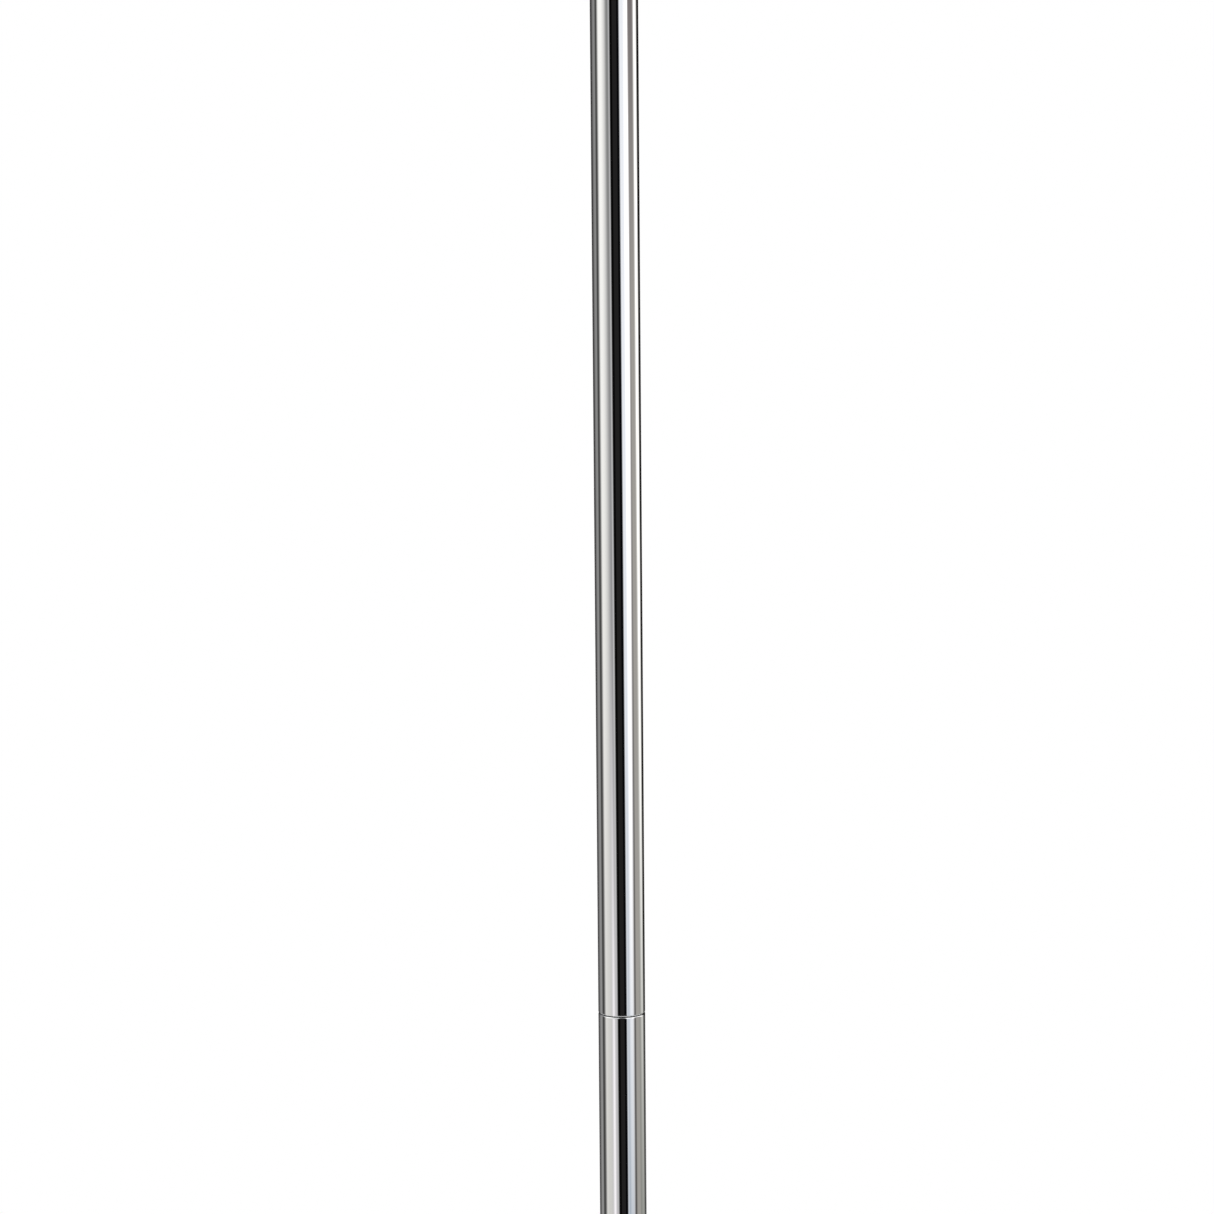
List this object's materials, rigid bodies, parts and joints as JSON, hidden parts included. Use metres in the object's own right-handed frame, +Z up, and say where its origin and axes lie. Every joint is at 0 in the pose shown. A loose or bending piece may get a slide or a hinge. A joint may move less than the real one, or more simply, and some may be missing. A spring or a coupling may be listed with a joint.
{
  "type": "flag pole stand",
  "caption": "Free-standing indoor flag pole: weighted round base with a trumpet neck, a polished round pole in screwed sections with a fine butt seam, and a screwed lance finial.",
  "frame": {"origin": "centre of the circle of feet, on the surface the stand rests on", "axes": "+Z up along the pole; +X along the width of the lance blade; +Y along its thickness"},
  "size_m": [0.33, 0.33, 2.2357],
  "materials": {
    "polished_chrome": "mirror-polished chrome plate",
    "zinc_steel": "bright zinc-plated steel",
    "turned_steel": "fine turned, bare",
    "black_fibre": "matt black",
    "cast_iron": "rough cast, dark primer",
    "black_plate": "semi-matt black",
    "black_rubber": "matt"
  },
  "bodies": {
    "base": {"base_cover": "polished_chrome", "ballast_weight": "cast_iron", "bottom_plate": "black_plate", "plate_screws": "zinc_steel", "rubber_feet": "black_rubber", "foot_screws": "zinc_steel", "spacer_tube": "turned_steel", "base_stud": "zinc_steel", "stud_washer": "zinc_steel", "spring_washer": "zinc_steel", "stud_nut": "zinc_steel", "neck_collar": "polished_chrome"},
    "foot_ring": {"foot_washer": "black_fibre"},
    "lower_section": {"lower_tube": "polished_chrome", "lower_bottom_insert": "turned_steel", "lower_top_insert": "turned_steel"},
    "seam_ring": {"seam_washer": "black_fibre"},
    "upper_section": {"upper_tube": "polished_chrome", "joint_stud": "zinc_steel", "upper_bottom_insert": "turned_steel", "upper_top_insert": "turned_steel"},
    "finial_ring": {"finial_washer": "black_fibre"},
    "finial": {"finial_stud": "zinc_steel", "finial_socket": "polished_chrome", "finial_ball": "polished_chrome", "finial_ferrule": "polished_chrome", "finial_blade": "polished_chrome"}
  },
  "joints": [
    {"name": "lower_turn", "type": "hinge", "parent": "base", "child": "foot_ring", "pos_m": [0, 0, 0.106], "axis": [0, 0, 1], "range_deg": [0, 4320.4]},
    {"name": "lower_rise", "type": "slide", "parent": "foot_ring", "child": "lower_section", "axis": [0, 0, 1], "range_m": [0, 0.024]},
    {"name": "upper_turn", "type": "hinge", "parent": "lower_section", "child": "seam_ring", "pos_m": [0, 0, 1.05], "axis": [0, 0, 1], "range_deg": [0, 4320.4]},
    {"name": "upper_rise", "type": "slide", "parent": "seam_ring", "child": "upper_section", "axis": [0, 0, 1], "range_m": [0, 0.024]},
    {"name": "finial_turn", "type": "hinge", "parent": "upper_section", "child": "finial_ring", "pos_m": [0, 0, 2.0505], "axis": [0, 0, 1], "range_deg": [0, 5760.4]},
    {"name": "finial_rise", "type": "slide", "parent": "finial_ring", "child": "finial", "axis": [0, 0, 1], "range_m": [0, 0.028]}
  ],
  "couplings": [
    {"joint": "lower_turn", "follows": "lower_rise", "rad_per_m": 3141.6},
    {"joint": "upper_turn", "follows": "upper_rise", "rad_per_m": 3141.6},
    {"joint": "finial_turn", "follows": "finial_rise", "rad_per_m": 3590.4}
  ]
}
